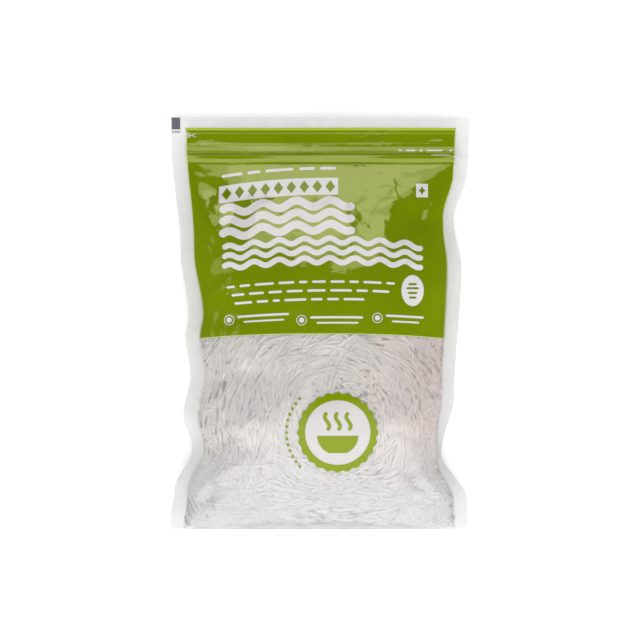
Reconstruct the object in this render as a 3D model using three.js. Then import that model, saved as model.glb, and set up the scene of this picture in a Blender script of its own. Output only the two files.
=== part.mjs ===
// A sealed zip pouch full of string hoppers, lying on its back with its front up.
// Millimetres, +Z up. X runs across the pouch, +Y points from the bottom fold to the
// header, and the origin is on the floor under the middle of the pouch.
//
// The pouch is one closed solid: a front film and a back film that meet in a flat heat
// seal down each side and along the top, and in a fold along the bottom. Each film is a
// height over the same grid. The side edges, the seals and the heights are worked out
// from the values below.

import * as THREE from 'three';
import { mergeVertices } from 'three/addons/utils/BufferGeometryUtils.js';

// The whole pouch
const WIDTH = 200; // across the header and across the bottom fold
const LENGTH = 275; // from the bottom fold to the top edge
const THICKNESS = 46; // floor to the highest point of the filled front
const FILM_PAIR = 1; // thickness of the two films where they are welded together
const LEFT_SEAL = 9.8; // width of the welded border down the left side, along the film
const RIGHT_SEAL = 9.2;
const TOP_SEAL = 7; // height of the welded border along the top edge

// How the filled part swells
const FILL_TOP = 106; // the filling starts below the zip, at this Y
const FILL_RISE_TOP = 100; // length over which the front rises to its full height
const FILL_RISE_BOTTOM = 88; // length over which the front falls to the bottom fold
const BACK_SWELL = 25; // how far the back would hang below the seams without a floor
const LUMP_HEIGHT = 1.1; // low lumps that the nests inside push up
const LUMP_PITCH = 62; // distance from one lump to the next

// The zip: two ribs with a groove between them, pressed through both films right across
// the header. [Y, height]
const ZIP_PROFILE = [
  [121, 0], [119.4, 0.05], [117, 0.34], [114.3, 0.64], [113.5, 0], [112.8, 0],
  [112.1, 0.3], [110.2, 0.52], [109, 0.1], [107.6, 0],
];

// Along each side the edge swings smoothly from one bump or dent to the next.
// [Y, inset from half the width, drop of the seal's outer edge below its inner edge]
const LEFT_EDGE = [
  [137.5, 0, 0], [119, 0.3, 0], [48, 6.7, 4.2], [5, 12.1, 2.4], [-9, 10.1, 2.8],
  [-35, 13.6, 3.2], [-61, 8.8, 2], [-83, 14.3, 5.6], [-112, 2.3, 4.2], [-129, 0, 0.6],
  [-137.5, 0, 0],
];
const RIGHT_EDGE = [
  [137.5, 0, 0], [113, 0.8, 0.8], [100, 2, 2.4], [69, 11, 6], [38, 6.3, 1.5],
  [-48, 11, 4.6], [-86, 19.2, 8.8], [-119, 1.9, 2], [-137.5, 1.7, 0],
];

// Height of the seam over the floor: low at the header and the fold, half up at the sides
const SEAM_HEIGHT = [[137.5, 7.2], [116, 6.2], [20, 18], [-62, 18], [-137.5, 10.5]];

// Folds that run inward from the dents in the seals: side, Y, depth, half width, reach
const PUCKERS = [
  { side: -1, y: 5, depth: 3, halfWidth: 8, reach: 11 },
  { side: -1, y: -35, depth: 3.4, halfWidth: 8, reach: 12 },
  { side: -1, y: -83, depth: 4.6, halfWidth: 9, reach: 13 },
  { side: 1, y: 69, depth: 4.2, halfWidth: 9, reach: 12 },
  { side: 1, y: -86, depth: 5.4, halfWidth: 11, reach: 14 },
];

// Folds that slant from the corners of the filled part towards its middle
const CORNER_FOLDS = [
  { from: [-84, 104], to: [-48, 62], depth: 3.2, halfWidth: 6 },
  { from: [86, 104], to: [46, 54], depth: 3.8, halfWidth: 7 },
  { from: [-90, -130], to: [-54, -96], depth: 3.4, halfWidth: 6 },
  { from: [88, -130], to: [52, -92], depth: 3.6, halfWidth: 7 },
];

// The header is a loose flap above the filling, and its top edge is a little wavy
const HEADER_WAVE = 0.8; // height of the wave at the top edge
const HEADER_WAVE_LENGTH = 132;

// The grid that carries both films
const SEAL_COLUMNS = 2;
const FILLED_COLUMNS = 30;
const COLUMNS = FILLED_COLUMNS + 2 * SEAL_COLUMNS;
const FOLD_STEPS = [0, 1, 2.5, 4.5, 7.5, 11, 15.5, 21]; // rows above the bottom fold
const FILLED_STEP = 7.6; // row spacing over the filling
const HEADER_START = 103;

const PRINT_GREEN = 0x7a8e00;
const FILM_ROUGHNESS = 0.3;

const clamp = THREE.MathUtils.clamp;
const halfLength = LENGTH / 2;
const halfFilm = FILM_PAIR / 2;

// Value in the given column of a list of [Y, ...] rows, easing in and out at every row
function swing(rows, column, y) {
  const last = rows.length - 1;
  if (y >= rows[0][0]) return rows[0][column];
  if (y <= rows[last][0]) return rows[last][column];
  const below = rows.findIndex((row) => row[0] <= y);
  const [upper, lower] = [rows[below - 1], rows[below]];
  const share = THREE.MathUtils.smoothstep(-y, -upper[0], -lower[0]);
  return THREE.MathUtils.lerp(upper[column], lower[column], share);
}

function edgeRows(side) {
  return side < 0 ? LEFT_EDGE : RIGHT_EDGE;
}

// X of the cut edge of the side seal
function outerEdge(side, y) {
  return side * (WIDTH / 2 - swing(edgeRows(side), 1, y));
}

// X of the line where the side seal ends and the filled film starts: the seal keeps its
// width along the film, so it looks narrower from above where it hangs down
function innerEdge(side, y) {
  const drop = swing(edgeRows(side), 2, y);
  const width = side < 0 ? LEFT_SEAL : RIGHT_SEAL;
  return outerEdge(side, y) - side * Math.sqrt(width ** 2 - drop ** 2);
}

// 0 at the zip and at the fold, 1 where the pouch is full: rounded like an ellipse
function fillAlong(y) {
  const fromTop = clamp((FILL_TOP - y) / FILL_RISE_TOP, 0, 1);
  const fromFold = clamp((y + halfLength) / FILL_RISE_BOTTOM, 0, 1);
  const top = Math.sin((Math.PI / 2) * fromTop) ** 0.9;
  const bottom = (1 - (1 - fromFold) ** 1.7) ** 0.6;
  return top * bottom;
}

// 0 at the side seals, 1 along the middle; across runs from -1 to 1 between the seals
function fillAcross(across) {
  return (1 - clamp(Math.abs(across), 0, 1) ** 2.5) ** 0.56;
}

function pucker(x, y) {
  let depth = 0;
  for (const fold of PUCKERS) {
    const inward = Math.max(0, fold.side * (innerEdge(fold.side, fold.y) - x)) / fold.reach;
    const along = (y - fold.y) / fold.halfWidth;
    depth += fold.depth * inward * Math.exp(1 - inward) * Math.exp(-along * along);
  }
  return depth;
}

// Each fold is deepest halfway along its line and rounded across it
function cornerFolds(x, y) {
  let depth = 0;
  for (const { from, to, depth: deepest, halfWidth } of CORNER_FOLDS) {
    const [runX, runY] = [to[0] - from[0], to[1] - from[1]];
    const run = Math.hypot(runX, runY);
    const along = ((x - from[0]) * runX + (y - from[1]) * runY) / run ** 2;
    const off = ((x - from[0]) * runY - (y - from[1]) * runX) / run / halfWidth;
    const fade = Math.sin(Math.PI * clamp(along, 0, 1));
    depth += deepest * fade * Math.exp(-off * off);
  }
  return depth;
}

function lumps(x, y) {
  const turn = (2 * Math.PI) / LUMP_PITCH;
  return LUMP_HEIGHT * Math.sin(turn * x + 0.6) * Math.cos(turn * (y - 0.4 * x));
}

// Straight between the points of the zip profile, and crushed to a quarter in the side seals
function zipRelief(across, y) {
  const above = ZIP_PROFILE.findLastIndex((row) => row[0] >= y);
  if (above < 0 || above === ZIP_PROFILE.length - 1) return 0;
  const [upper, lower] = [ZIP_PROFILE[above], ZIP_PROFILE[above + 1]];
  const share = (upper[0] - y) / (upper[0] - lower[0]);
  const crushed = clamp((1.02 - Math.abs(across)) / 0.06, 0.25, 1);
  return THREE.MathUtils.lerp(upper[1], lower[1], share) * crushed;
}

// Height of the front film over the seam; its crest comes out at the full thickness
function frontSwell(across, x, y) {
  const crest = THICKNESS - swing(SEAM_HEIGHT, 1, 0) - halfFilm - LUMP_HEIGHT;
  const fill = fillAlong(y) * fillAcross(across);
  return fill * (crest + lumps(x, y) - pucker(x, y) - cornerFolds(x, y));
}

// Height of the middle between the two films, at the inner edge of the side seals
function seamHeight(x, y) {
  const flap = clamp((y - FILL_TOP) / (halfLength - FILL_TOP), 0, 1);
  const wave = HEADER_WAVE * flap * Math.sin((2 * Math.PI * x) / HEADER_WAVE_LENGTH + 0.5);
  return swing(SEAM_HEIGHT, 1, y) + wave;
}

// Position of one grid point. column and row count from the left and from the fold,
// and face is 1 on the front film and -1 on the back film.
function filmPoint(column, row, face) {
  const y = ROW_Y[row];
  const middle = COLUMNS / 2;
  const side = column < middle ? -1 : 1;
  const fromEdge = side < 0 ? column : COLUMNS - column;

  if (fromEdge < SEAL_COLUMNS) {
    const out = 1 - fromEdge / SEAL_COLUMNS;
    const x = THREE.MathUtils.lerp(innerEdge(side, y), outerEdge(side, y), out);
    const drop = out * swing(edgeRows(side), 2, y);
    const z = seamHeight(x, y) - drop + face * (halfFilm + zipRelief(1, y));
    return new THREE.Vector3(x, y, Math.max(0, z));
  }

  // Columns lie closer together towards the seals, where the film turns down
  const across = Math.sin((Math.PI / 2) * ((column - middle) / (FILLED_COLUMNS / 2)));
  const x = THREE.MathUtils.lerp(innerEdge(-1, y), innerEdge(1, y), (across + 1) / 2);
  const seam = seamHeight(x, y);
  const relief = halfFilm + zipRelief(across, y);
  if (face > 0) return new THREE.Vector3(x, y, seam + relief + frontSwell(across, x, y));
  const hang = BACK_SWELL * fillAlong(y) * fillAcross(across);
  return new THREE.Vector3(x, y, Math.max(0, seam - relief - hang));
}

// Y of every row of the grid, from the fold to the top edge
function rowPositions() {
  const rows = FOLD_STEPS.map((step) => step - halfLength);
  const filledStart = rows[rows.length - 1];
  const filledRows = Math.round((HEADER_START - filledStart) / FILLED_STEP);
  for (let i = 1; i <= filledRows; i++) {
    rows.push(THREE.MathUtils.lerp(filledStart, HEADER_START, i / filledRows));
  }
  rows.push((HEADER_START + FILL_TOP) / 2, FILL_TOP);
  rows.push(...ZIP_PROFILE.map((row) => row[0]).reverse());
  const sealStart = halfLength - TOP_SEAL;
  rows.push((ZIP_PROFILE[0][0] + sealStart) / 2, sealStart);
  rows.push(sealStart + TOP_SEAL / 2, halfLength);
  return rows;
}

const ROW_Y = rowPositions();
const ROWS = ROW_Y.length - 1;

// A box with one layer, whose two faces are bent into the two films
function pouchGeometry() {
  const box = new THREE.BoxGeometry(1, 1, 1, COLUMNS, ROWS, 1);
  box.deleteAttribute('normal');
  box.deleteAttribute('uv');
  const place = box.attributes.position;
  for (let i = 0; i < place.count; i++) {
    const column = Math.round((place.getX(i) + 0.5) * COLUMNS);
    const row = Math.round((place.getY(i) + 0.5) * ROWS);
    const point = filmPoint(column, row, Math.sign(place.getZ(i)));
    place.setXYZ(i, point.x, point.y, point.z);
  }
  const pouch = mergeVertices(box, 1e-4);
  pouch.computeVertexNormals();
  return pouch;
}

const model = new THREE.Group();
const pouch = new THREE.Mesh(
  pouchGeometry(),
  new THREE.MeshStandardMaterial({ color: PRINT_GREEN, roughness: FILM_ROUGHNESS, metalness: 0 }),
);
pouch.name = 'pouch';
model.add(pouch);

export default model;
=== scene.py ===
"""A sealed zip pouch of string hoppers lying on its back, dressed for rendering.

The film is one height over the plan of the pouch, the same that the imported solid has,
with finer folds added. Film panels, print, heat seals and noodles are all laid on it.
Shapes are worked out in millimetres and turned to metres when a mesh is made.
"""

import math

import bpy
import numpy as np
from bpy.props import FloatProperty, FloatVectorProperty, IntProperty, PointerProperty
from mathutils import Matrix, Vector


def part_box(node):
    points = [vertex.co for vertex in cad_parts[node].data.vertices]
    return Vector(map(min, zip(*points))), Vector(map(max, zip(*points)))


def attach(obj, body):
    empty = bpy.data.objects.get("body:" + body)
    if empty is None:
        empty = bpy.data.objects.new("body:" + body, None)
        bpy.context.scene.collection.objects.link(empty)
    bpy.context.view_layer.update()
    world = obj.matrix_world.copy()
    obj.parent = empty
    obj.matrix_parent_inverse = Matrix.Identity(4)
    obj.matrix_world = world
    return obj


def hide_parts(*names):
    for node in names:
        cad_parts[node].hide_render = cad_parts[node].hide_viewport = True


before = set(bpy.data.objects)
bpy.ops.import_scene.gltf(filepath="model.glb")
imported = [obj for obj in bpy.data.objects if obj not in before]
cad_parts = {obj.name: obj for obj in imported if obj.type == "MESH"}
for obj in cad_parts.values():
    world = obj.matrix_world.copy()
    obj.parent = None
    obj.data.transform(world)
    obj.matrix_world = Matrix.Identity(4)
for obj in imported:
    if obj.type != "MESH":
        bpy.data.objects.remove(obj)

bl_info = {
    "name": "Zip pouch of string hoppers",
    "version": (1, 0, 0),
    "blender": (4, 5, 0),
    "location": "3D View > Sidebar > Pouch",
    "description": "Makes the film, print, heat seals and noodles of a sealed zip pouch",
    "category": "Add Mesh",
}

MM = 0.001
BORDER_TURN = math.radians(60)
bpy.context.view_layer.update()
NODE = "pouch"
BODY = "root"
LOW, HIGH = (np.array(corner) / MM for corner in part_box(NODE))
WIDTH, LENGTH, THICKNESS = np.round(HIGH - LOW)
HALF_LENGTH = LENGTH / 2

# The form of the pouch, in millimetres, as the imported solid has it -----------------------

FILL_TOP = 106.0
FILL_RISE_TOP = 100.0
FILL_RISE_BOTTOM = 88.0
BACK_SWELL = 25.0
LUMP_HEIGHT = 1.1
LUMP_PITCH = 62.0
SIDE_SEALS = {-1: 9.8, 1: 9.2}  # left and right seal widths
SOLID_FILM_PAIR = 1.0
FILM_GAP = 0.4  # thickness of the two welded films
ZIP_PROFILE = [  # Y, height of the ribs that keep the zip shut
    (121.0, 0), (119.4, 0.05), (117.0, 0.34), (114.3, 0.64), (113.5, 0.0), (112.8, 0.0),
    (112.1, 0.30), (110.2, 0.52), (109.0, 0.1), (107.6, 0),
]

# Y, inset of the edge from half the width, drop of the seal's outer edge
LEFT_EDGE = [
    (137.5, 0, 0), (119, 0.3, 0), (48, 6.7, 4.2), (5, 12.1, 2.4), (-9, 10.1, 2.8),
    (-35, 13.6, 3.2), (-61, 8.8, 2), (-83, 14.3, 5.6), (-112, 2.3, 4.2), (-129, 0, 0.6),
    (-137.5, 0, 0),
]
RIGHT_EDGE = [
    (137.5, 0, 0), (113, 0.8, 0.8), (100, 2, 2.4), (69, 11, 6.0), (38, 6.3, 1.5),
    (-48, 11, 4.6), (-86, 19.2, 8.8), (-119, 1.9, 2), (-137.5, 1.7, 0),
]
SEAM_HEIGHT = [(137.5, 7.2), (116, 6.2), (20, 18), (-62, 18), (-137.5, 10.5)]
PUCKERS = [  # side, Y, depth, half width, reach
    (-1, 5, 3.0, 8, 11),
    (-1, -35, 3.4, 8, 12),
    (-1, -83, 4.6, 9, 13),
    (1, 69, 4.2, 9, 12),
    (1, -86, 5.4, 11, 14),
]
CORNER_FOLDS = [  # from, to, depth, half width
    ((-84, 104), (-48, 62), 3.2, 6),
    ((86, 104), (46, 54), 3.8, 7),
    ((-90, -130), (-54, -96), 3.4, 6),
    ((88, -130), (52, -92), 3.6, 7),
]
HEADER_WAVE = 0.8
HEADER_WAVE_LENGTH = 132.0

# Finer folds that only the film has: from, to, depth, half width, all in millimetres.
# A negative depth is a ridge.
FINE_CREASES = [
    ((-90, 107.0), (-34, 108.5), 0.5, 1.6),
    ((-91, 106.0), (-52, 103), -0.5, 1.6),
    ((-91, 105.0), (-62, 91), 0.7, 2.4),
    ((-90, 101), (-70, 78), -0.3, 2.6),
    ((91, 107), (34, 108), 0.5, 1.6),
    ((91, 105.5), (50, 100), -0.5, 1.8),
    ((91, 104), (62, 84), 0.7, 2.4),
    ((90, 99), (72, 66), -0.7, 2.8),
    ((86, 92), (58, 66), 0.5, 2.6),
    ((-86, 84), (-64, 66), 0.6, 2.4),
    ((-86, 79), (-70, 58), -0.5, 2.6),
    ((-80, 64), (-66, 44), 0.4, 2.4),
    ((82, 72), (50, 56), 0.6, 2.8),
    ((82, 60), (56, 34), -0.5, 3.0),
    ((-79, 4), (-58, 2), -0.15, 2.6),
    ((-80, -36), (-66, -39), 0.4, 2.0),
    ((-78, -82), (-46, -74), 0.7, 2.8),
    ((-78, -86), (-50, -104), 0.7, 2.8),
    ((-90, -122), (-60, -112), 0.6, 2.6),
    ((80, -84), (48, -70), 0.7, 2.8),
    ((80, -88), (50, -104), 0.7, 2.8),
    ((78, -80), (62, -52), -0.5, 2.6),
    ((60, -107), (74, -112), 0.8, 1.0),
    ((88, -124), (58, -116), 0.6, 2.4),
    ((-30, -134), (-20, -112), 0.5, 2.4),
    ((34, -134), (28, -110), 0.5, 2.4),
]
BROAD_FOLDS = [  # rounded ridges of the film, as above
    ((-90, 12), (-40, 34), 1.2, 5.0),
    ((94, 106), (70, 92), 1.2, 4.5),
    ((88, 48), (38, 30), 0.4, 2.8),
]
RIPPLE_COUNT = 14
RIPPLE_LENGTHS = (17.0, 58.0)
RIPPLE_SEED = 11
RIPPLE_HEIGHT = 0.045
FACET_COUNT = 9
FACET_LENGTHS = (13.0, 34.0)
FACET_SLOPE = 0.016
FACET_SEED = 4
TAUTNESS = 0.85  # share of the filling's lumps that the tight film bridges

# Where the printed panel ends, and how the print bows up along the middle of the bulge
PANEL_EDGE_MIDDLE = -7.3
PANEL_EDGE_SAG = 3.4
PRINT_BOW = (3.2, 3.0, 75.0)  # rise at the middle, more where full, half the reach along X
PRINT_LEAN = 0.013
MEDALLION = (11.3, -71.7)  # middle of the round print, which the noodles turn round too
HEADER_LINES = [  # Y, extra height of the film over the zip, straight between the rows
    (137.5, 0), (127.7, 0), (127.3, 0.12), (126.8, 0), (120.6, 0), (117.0, 0.86), (114.1, 1.25),
    (113.5, 0.5), (112.9, 0.5), (112.4, 1.1), (110.2, 0.25), (109.0, 0.25), (107.6, -0.1),
    (106.0, 0.0), (100.0, 0.0),
]
BULGES = [  # oval swells of the film: middle X, Y, half length, half width, height
    (-36.0, 59.0, 34.0, 20.0, 3.3),
    (58.0, 60.0, 16.0, 14.0, 0.8),
    (-76.0, 90.0, 20.0, 11.0, -4.0),
    (-92.0, 76.0, 20.0, 11.0, 5.0),
]
HEADER_BUCKLES = [  # the same over the zip
    (-80.0, 119.0, 22.0, 3.2, 1.2),
    (34.0, 119.8, 40.0, 3.0, 0.8),
    (90.0, 121.0, 16.0, 3.4, 1.1),
    (-64.0, 109.0, 28.0, 2.6, 1.0),
    (62.0, 109.2, 26.0, 2.4, 0.9),
]
HEADER_WAVES = 6
HEADER_WAVES_ALONG = (34.0, 95.0)
HEADER_WAVES_UP = (9.0, 17.0)
HEADER_WAVES_HEIGHT = 0.05
HEADER_SLACK_TOP = 126.5
HEADER_SEED = 8


def straight(rows, y):
    """Between two rows (Y, value) the value runs straight from one to the other."""
    table = np.array(rows[::-1])
    return np.interp(y, table[:, 0], table[:, 1])


def swing(rows, part, y):
    """Between two rows [Y, ...] the value eases from one to the other along 3t^2 - 2t^3."""
    table = np.array(rows[::-1], float)
    y = np.clip(y, table[0, 0], table[-1, 0])
    below = np.clip(np.searchsorted(table[:, 0], y, side="right") - 1, 0, len(table) - 2)
    low, high = table[below], table[below + 1]
    t = (y - low[..., 0]) / (high[..., 0] - low[..., 0])
    return low[..., part] + (high[..., part] - low[..., part]) * t * t * (3 - 2 * t)


def edge_rows(side):
    """The rows of the left edge (side -1) or of the right edge (side 1)."""
    return LEFT_EDGE if side < 0 else RIGHT_EDGE


def outer_edge(side, y):
    """X of the cut edge: half the width less the inset of that side."""
    return side * (WIDTH / 2 - swing(edge_rows(side), 1, y))


def inner_edge(side, y):
    """X of the seal's inner edge: the seal keeps its width along the film, so in plan it is
    the square root of width squared less drop squared."""
    drop = swing(edge_rows(side), 2, y)
    return outer_edge(side, y) - side * np.sqrt(SIDE_SEALS[side] ** 2 - drop**2)


def x_at(across, y):
    """X of a share across the filled part: -1 at the left seal, 1 at the right seal."""
    left, right = inner_edge(-1, y), inner_edge(1, y)
    return left + (right - left) * (across + 1) / 2


def across_at(x, y):
    """Share across the filled part of an X: its place between the seals, from -1 to 1."""
    left, right = inner_edge(-1, y), inner_edge(1, y)
    return np.clip((2 * x - left - right) / (right - left), -1, 1)


def fill_along(y):
    """A sine rise below the zip times a superellipse rise above the bottom fold."""
    from_top = np.clip((FILL_TOP - y) / FILL_RISE_TOP, 0, 1)
    from_fold = np.clip((y + HALF_LENGTH) / FILL_RISE_BOTTOM, 0, 1)
    return np.sin(np.pi / 2 * from_top) ** 0.9 * (1 - (1 - from_fold) ** 1.7) ** 0.6


def fill_across(across):
    """A superellipse between the side seals."""
    return (1 - np.clip(np.abs(across), 0, 1) ** 2.5) ** 0.56


def beside_line(x, y, start, end, half_width):
    """A sine wave's half along a line, nothing past its ends, and the distance off the line
    in half widths."""
    run = np.array(end, float) - np.array(start, float)
    length = math.hypot(*run)
    along = ((x - start[0]) * run[0] + (y - start[1]) * run[1]) / length**2
    off = ((x - start[0]) * run[1] - (y - start[1]) * run[0]) / length / half_width
    return np.sin(np.pi * np.clip(along, 0, 1)), off


def line_fold(x, y, start, end, half_width):
    """1 along the middle of a line, falling off as a bell across it and a sine along it."""
    rise, off = beside_line(x, y, start, end, half_width)
    return rise * np.exp(-off * off)


def crease(x, y, start, end, half_width):
    """1 along the middle of a line, falling off to both sides as e^-distance, so that the
    line is sharp, and as a sine along it."""
    rise, off = beside_line(x, y, start, end, half_width)
    return rise * np.exp(0.3 - np.sqrt(off * off + 0.09))


def pucker(x, y):
    """Folds that run in from the dents: (d/reach) e^(1 - d/reach) inward, a bell along Y."""
    depth = np.zeros(np.broadcast(x, y).shape)
    for side, middle, deepest, half_width, reach in PUCKERS:
        inward = np.maximum(0, side * (inner_edge(side, np.float64(middle)) - x)) / reach
        bell = np.exp(-(((y - middle) / half_width) ** 2))
        depth = depth + deepest * inward * np.exp(1 - inward) * bell
    return depth


def corner_folds(x, y):
    """The folds that run in from the corners of the filling, added up."""
    return sum(d * line_fold(x, y, a, b, w) for a, b, d, w in CORNER_FOLDS)


def lumps(x, y):
    """The filling under the film: a sine along X times a cosine along a slanted Y."""
    turn = 2 * np.pi / LUMP_PITCH
    return LUMP_HEIGHT * np.sin(turn * x + 0.6) * np.cos(turn * (y - 0.4 * x))


def zip_relief(across, y):
    """The ribs that keep the zip shut, a quarter as high where the side seals crush them."""
    crushed = np.clip((1.02 - np.abs(across)) / 0.06, 0.25, 1)
    return crushed * straight(ZIP_PROFILE, y)


def seam_height(x, y):
    """Height of the seam, with a sine wave that grows towards the loose top edge."""
    flap = np.clip((y - FILL_TOP) / (HALF_LENGTH - FILL_TOP), 0, 1)
    wave = np.sin(2 * np.pi * x / HEADER_WAVE_LENGTH + 0.5)
    return swing(SEAM_HEIGHT, 1, y) + HEADER_WAVE * flap * wave


def ripple(x, y):
    """Slack in the film: a sum of sine waves of seeded lengths and headings."""
    draw = np.random.default_rng(RIPPLE_SEED)
    total = np.zeros(np.broadcast(x, y).shape)
    for _ in range(RIPPLE_COUNT):
        length = draw.uniform(*RIPPLE_LENGTHS)
        heading, phase = draw.uniform(0, 2 * np.pi, 2)
        travel = x * np.cos(heading) + y * np.sin(heading)
        share = (length / RIPPLE_LENGTHS[1]) ** 1.4
        total = total + share * np.sin(2 * np.pi * travel / length + phase)
    return RIPPLE_HEIGHT * total


def facets(x, y):
    """Flat facets with sharp valleys between, as stiff film takes: a sum of |sine| waves of
    seeded lengths and headings, each bent by a slower sine across its heading."""
    draw = np.random.default_rng(FACET_SEED)
    total = np.zeros(np.broadcast(x, y).shape)
    for _ in range(FACET_COUNT):
        length = draw.uniform(*FACET_LENGTHS)
        heading, phase, sway = draw.uniform(0, 2 * np.pi, 3)
        travel = x * np.cos(heading) + y * np.sin(heading)
        beside = y * np.cos(heading) - x * np.sin(heading)
        bent = travel + 0.3 * length * np.sin(2 * np.pi * beside / (2.7 * length) + sway)
        fold = np.abs(np.sin(np.pi * bent / length + phase))
        total = total + length * (fold - 2 / np.pi)
    return FACET_SLOPE * total


def slackness(across, y):
    """Share of slack: the film is tight over the crest, looser by the side seals, under the
    zip and in the bottom corners."""
    beside = np.clip((np.abs(across) - 0.55) / 0.35, 0, 1)
    high = np.clip((y - 30) / 50, 0, 1)
    low = np.clip((-70 - y) / 45, 0, 1)
    return np.clip(0.12 + 0.7 * beside + 0.75 * high + 0.45 * low, 0, 1)


def bells(rows, x, y):
    """Oval swells: each is its height times e^-(squared share of its half sizes)."""
    total = np.zeros(np.broadcast(x, y).shape)
    for middle_x, middle_y, half_length, half_width, height in rows:
        reach = ((x - middle_x) / half_length) ** 2 + ((y - middle_y) / half_width) ** 2
        total = total + height * np.exp(-reach)
    return total


def header_slack(x, y):
    """Buckled film of the header: oval bells, and a sum of products of a long sine along X
    and a short one along Y, of seeded lengths."""
    draw = np.random.default_rng(HEADER_SEED)
    total = np.zeros(np.broadcast(x, y).shape)
    for _ in range(HEADER_WAVES):
        along, up = draw.uniform(*HEADER_WAVES_ALONG), draw.uniform(*HEADER_WAVES_UP)
        phases = draw.uniform(0, 2 * np.pi, 2)
        wave = np.sin(2 * np.pi * x / along + phases[0])
        total = total + wave * np.sin(2 * np.pi * y / up + phases[1])
    return HEADER_WAVES_HEIGHT * total + bells(HEADER_BUCKLES, x, y)


def fine_relief(across, x, y, fill):
    """Creases and slack, fading to nothing at the seams. Over the crest the lumps of the
    filling hardly show, because the film is tight there."""
    creases = sum(-d * crease(x, y, a, b, w) for a, b, d, w in FINE_CREASES)
    creases = creases + sum(h * line_fold(x, y, a, b, w) for a, b, h, w in BROAD_FOLDS)
    creases = creases + bells(BULGES, x, y)
    held = np.clip(fill * 2.5, 0, 1)
    header = np.clip((y - FILL_TOP + 8) / 8, 0, 1)
    unsealed = np.clip((1.03 - np.abs(across)) / 0.16, 0, 1)
    free = unsealed * np.clip((HEADER_SLACK_TOP - y) / 5, 0, 1)
    slack = slackness(across, y)
    taut = (1 - slack) * TAUTNESS * fill * lumps(x, y)
    loose = slack * (ripple(x, y) + facets(x, y))
    over_zip = straight(HEADER_LINES, y) + free * header_slack(x, y) + 0.35 * creases
    return held * (creases + loose - taut) + header * over_zip


def front_height(across, x, y, fine=True):
    """Z of the front film: the seam, half the film pair, the ribs and the swell, and with
    fine also the relief that only the film has."""
    fill = fill_along(y) * fill_across(across)
    crest = THICKNESS - SEAM_HEIGHT[2][1] - SOLID_FILM_PAIR / 2 - LUMP_HEIGHT
    swell = fill * (crest + lumps(x, y) - pucker(x, y) - corner_folds(x, y))
    extra = fine_relief(across, x, y, fill) if fine else 0
    return seam_height(x, y) + FILM_GAP / 2 + zip_relief(across, y) + swell + extra


def back_height(across, x, y):
    """Z of the back film: it hangs below the seam and lies flat where it meets the floor."""
    hang = BACK_SWELL * fill_along(y) * fill_across(across)
    lowest = seam_height(x, y) - FILM_GAP / 2 - zip_relief(across, y) - hang
    return np.maximum(0, lowest)


def panel_edge(across):
    """Y of the printed panel's lower edge: it sags to both sides by a power curve."""
    return PANEL_EDGE_MIDDLE - PANEL_EDGE_SAG * np.abs(across) ** 2.5


def on_print(x, level):
    """Plan position of a print coordinate: the print bows up along the middle, more where
    the pouch is fuller, and leans up a little to the right."""
    rise = np.clip((level + 8) / 68, 0, 1)
    least, more, reach = PRINT_BOW
    bow = least + more * rise * rise * (3 - 2 * rise)
    return x, level + bow * (1 - (x / reach) ** 2) + PRINT_LEAN * x


# Meshes ----------------------------------------------------------------------------------


def row(first, last, count):
    """Even steps along a row of a grid."""
    return np.linspace(first, last, count)[None, :]


def column(first, last, count):
    """Even steps from row to row of a grid."""
    return np.linspace(first, last, count)[:, None]


def grid_points(x, y, z):
    """Points of a grid, from coordinates that are whole, rows or columns."""
    return np.stack(np.broadcast_arrays(x, y, z), axis=-1)


def make_object(name, points, faces, sharpest=math.pi):
    """A mesh object from points in millimetres and faces as lists of corner numbers, shaded
    smooth except over edges that turn by more than the sharpest angle."""
    mesh = bpy.data.meshes.new(name)
    mesh.from_pydata((points * MM).tolist(), [], faces)
    mesh.polygons.foreach_set("use_smooth", np.ones(len(mesh.polygons), bool))
    if sharpest < math.pi:
        mesh.set_sharp_from_angle(angle=sharpest)
    mesh.update()
    shape = bpy.data.objects.new(name, mesh)
    bpy.context.scene.collection.objects.link(shape)
    return shape


def grid_faces(rows, columns):
    """Quads between neighbours of a rows by columns grid, numbered row by row."""
    corner = np.arange(rows * columns).reshape(rows, columns)
    quads = [corner[:-1, :-1], corner[:-1, 1:], corner[1:, 1:], corner[1:, :-1]]
    return np.stack([q.ravel() for q in quads], axis=1)


def grid_normals(points):
    """Unit cross product of the steps along a row and from row to row."""
    normal = np.cross(np.gradient(points, axis=1), np.gradient(points, axis=0))
    return normal / np.maximum(np.linalg.norm(normal, axis=2, keepdims=True), 1e-12)


def rim_faces(rows, columns):
    """Quads that join the border of a grid to the border of a second grid numbered after it."""
    corner = np.arange(rows * columns).reshape(rows, columns)
    border = [corner[0, :-1], corner[:-1, -1], corner[-1, :0:-1], corner[:0:-1, 0]]
    loop = np.concatenate(border)
    after, offset = np.roll(loop, -1), rows * columns
    return np.stack([after, loop, loop + offset, after + offset], axis=1)


def ring_faces(corner):
    """Quads between neighbouring closed rings; the last axis of corner runs round a ring and
    the one before it from ring to ring."""
    beside = np.roll(corner, -1, axis=-1)
    quads = [corner[..., :-1, :], corner[..., 1:, :], beside[..., 1:, :], beside[..., :-1, :]]
    return np.stack([q.ravel() for q in quads], axis=1)


def closed_sheet(upper, lower):
    """Points and faces of two grids, one over the other, joined by a rim."""
    rows, columns = upper.shape[:2]
    top = grid_faces(rows, columns)
    faces = [top, top[:, ::-1] + rows * columns, rim_faces(rows, columns)]
    return np.concatenate([upper.reshape(-1, 3), lower.reshape(-1, 3)]), np.concatenate(faces)


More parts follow.
